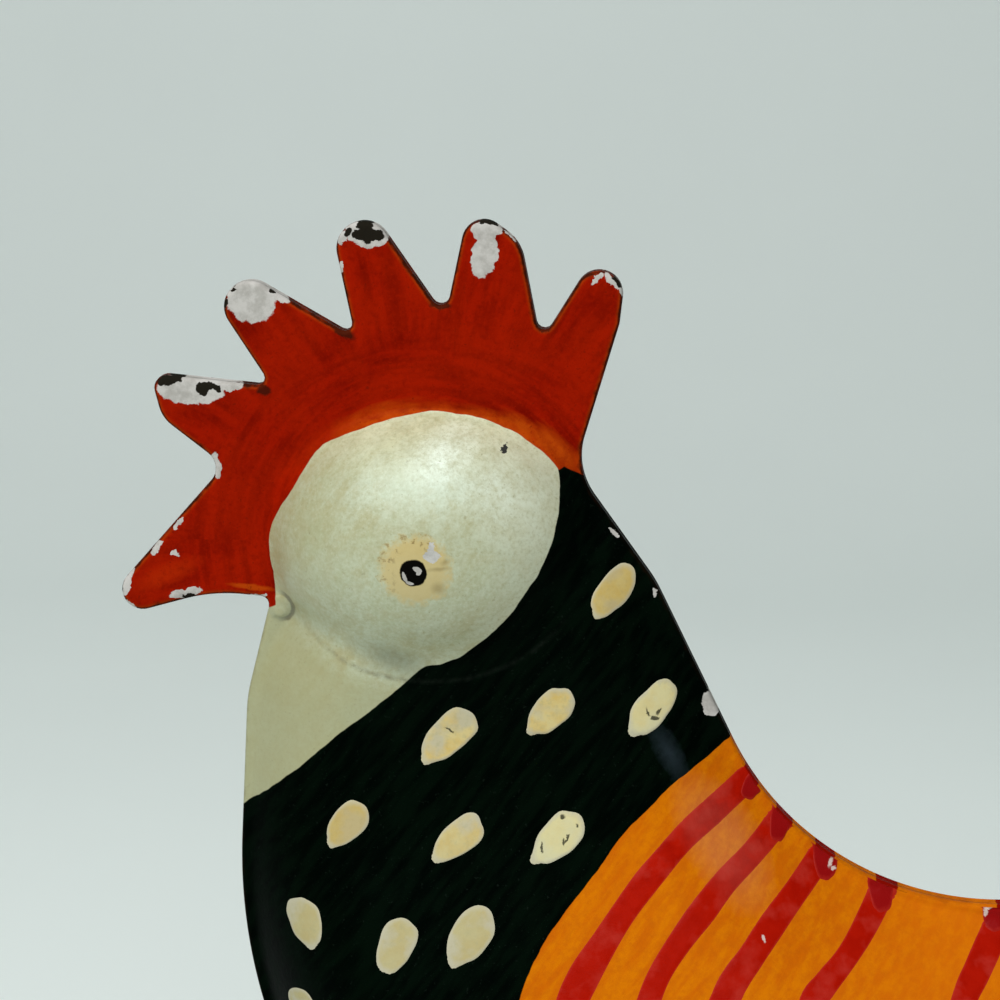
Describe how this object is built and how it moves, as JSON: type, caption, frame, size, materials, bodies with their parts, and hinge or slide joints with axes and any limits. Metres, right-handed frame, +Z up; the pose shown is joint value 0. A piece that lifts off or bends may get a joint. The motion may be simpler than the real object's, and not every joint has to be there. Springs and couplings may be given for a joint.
{
  "type": "metal rooster figurine",
  "caption": "Hollow painted sheet-iron rooster with a domed cheek, round-spiked comb, beak and scalloped tail, standing on rod legs and flat plate feet.",
  "frame": {"origin": "on the ground under the middle of the rooster's length, in its seam plane", "axes": "+X towards the tail, +Y towards the rooster's right side, +Z up"},
  "size_m": [0.2234, 0.078, 0.2452],
  "materials": {
    "shell_enamel": "glossy hand-painted enamel over white primer, chipped at the edges",
    "leg_enamel": "glossy brushed enamel",
    "bare_iron": "dark mill scale"
  },
  "bodies": {
    "root": {"left_shell": "shell_enamel", "right_shell": "shell_enamel", "seam_weld": "shell_enamel", "leg_strap": "bare_iron", "left_leg": "leg_enamel", "right_leg": "leg_enamel", "left_leg_weld": "leg_enamel", "right_leg_weld": "leg_enamel", "left_foot": "leg_enamel", "right_foot": "leg_enamel", "left_foot_weld": "leg_enamel", "right_foot_weld": "leg_enamel"}
  },
  "joints": []
}
